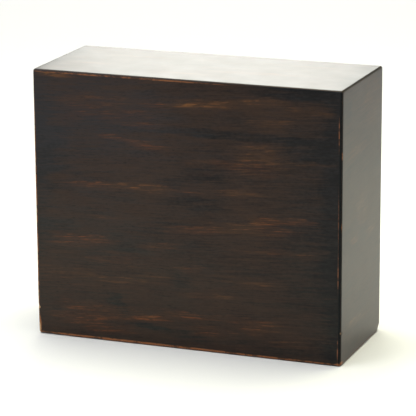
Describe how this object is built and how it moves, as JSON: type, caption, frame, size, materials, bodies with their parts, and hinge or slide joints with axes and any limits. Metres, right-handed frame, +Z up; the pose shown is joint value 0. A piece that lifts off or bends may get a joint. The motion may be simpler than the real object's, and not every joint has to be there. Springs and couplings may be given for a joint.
{
  "type": "cremation urn box",
  "caption": "Plain rectangular wooden cremation urn box, stained near-black with a satin lacquer and worn edges; mitred boards around a hollow chamber closed from below by a screwed base.",
  "frame": {"origin": "centre of the underside, on the surface that the box stands on", "axes": "+X along the front from left to right, +Y from the front to the back, +Z up"},
  "size_m": [0.254, 0.102, 0.216],
  "materials": {
    "stained_wood": "near-black stain under satin lacquer, rubbed through to reddish brown along the edges",
    "base_wood": "near-black stain, matt",
    "screw_steel": "yellow-zinc plated"
  },
  "bodies": {
    "root": {"front_panel": "stained_wood", "back_panel": "stained_wood", "left_side_panel": "stained_wood", "right_side_panel": "stained_wood", "top_panel": "stained_wood", "base_panel": "base_wood", "base_screw_front_left": "screw_steel", "base_screw_front_right": "screw_steel", "base_screw_back_left": "screw_steel", "base_screw_back_right": "screw_steel"}
  },
  "joints": []
}
